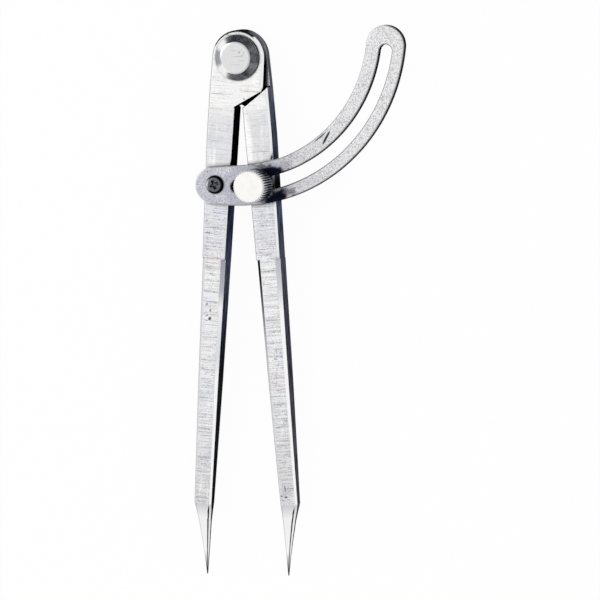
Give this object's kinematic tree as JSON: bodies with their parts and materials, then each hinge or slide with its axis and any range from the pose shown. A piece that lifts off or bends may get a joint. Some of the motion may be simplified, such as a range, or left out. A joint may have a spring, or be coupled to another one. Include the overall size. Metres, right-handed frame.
{
  "type": "wing divider",
  "caption": "Firm-joint wing divider: flat steel legs with round ground points, lapped round head, slotted arc wing on a pivot screw, and a knurled thumb screw that clamps the opening.",
  "frame": {"origin": "pivot axis, on the plane that the rear joint collar rests on", "axes": "+Z along the pivot axis, out of the front faces; +Y from the points towards the head; +X towards the leg that carries the clamp screw"},
  "size_m": [0.0895, 0.2123, 0.0247],
  "materials": {
    "leg_steel": "ground across the legs",
    "joint_steel": "turned",
    "wing_steel": "satin, stamped edges",
    "dark_screw_steel": "blackened",
    "washer_steel": "plain",
    "knob_steel": "nickel plated, satin"
  },
  "bodies": {
    "left_leg": {"left_leg": "leg_steel", "joint_rivet": "joint_steel", "joint_collar": "joint_steel", "wing_screw": "dark_screw_steel"},
    "right_leg": {"right_leg": "leg_steel"},
    "wing": {"wing": "wing_steel"},
    "clamp_washer": {"clamp_washer": "washer_steel"},
    "clamp_screw": {"clamp_screw": "knob_steel"}
  },
  "joints": [
    {"name": "leg_hinge", "type": "hinge", "parent": "left_leg", "child": "right_leg", "pos_m": [0, 0, 0.007], "axis": [0, 0, 1], "range_deg": [-9.35, 92.65]},
    {"name": "wing_swivel", "type": "hinge", "parent": "left_leg", "child": "wing", "pos_m": [-0.00894, -0.04863, 0.01235], "axis": [0, 0, 1], "range_deg": [-1.2, 11.9]},
    {"name": "clamp_lift", "type": "slide", "parent": "right_leg", "child": "clamp_washer", "axis": [0, 0, 1], "range_m": [0, 0.00141]},
    {"name": "clamp_turn", "type": "hinge", "parent": "clamp_washer", "child": "clamp_screw", "pos_m": [0.00869, -0.04855, 0.0192], "axis": [0, 0, 1], "range_deg": [0, 720]}
  ],
  "couplings": [
    {"joint": "wing_swivel", "follows": "leg_hinge", "ratio": 0.128},
    {"joint": "clamp_lift", "follows": "clamp_turn", "m_per_rad": 0.00011141}
  ]
}
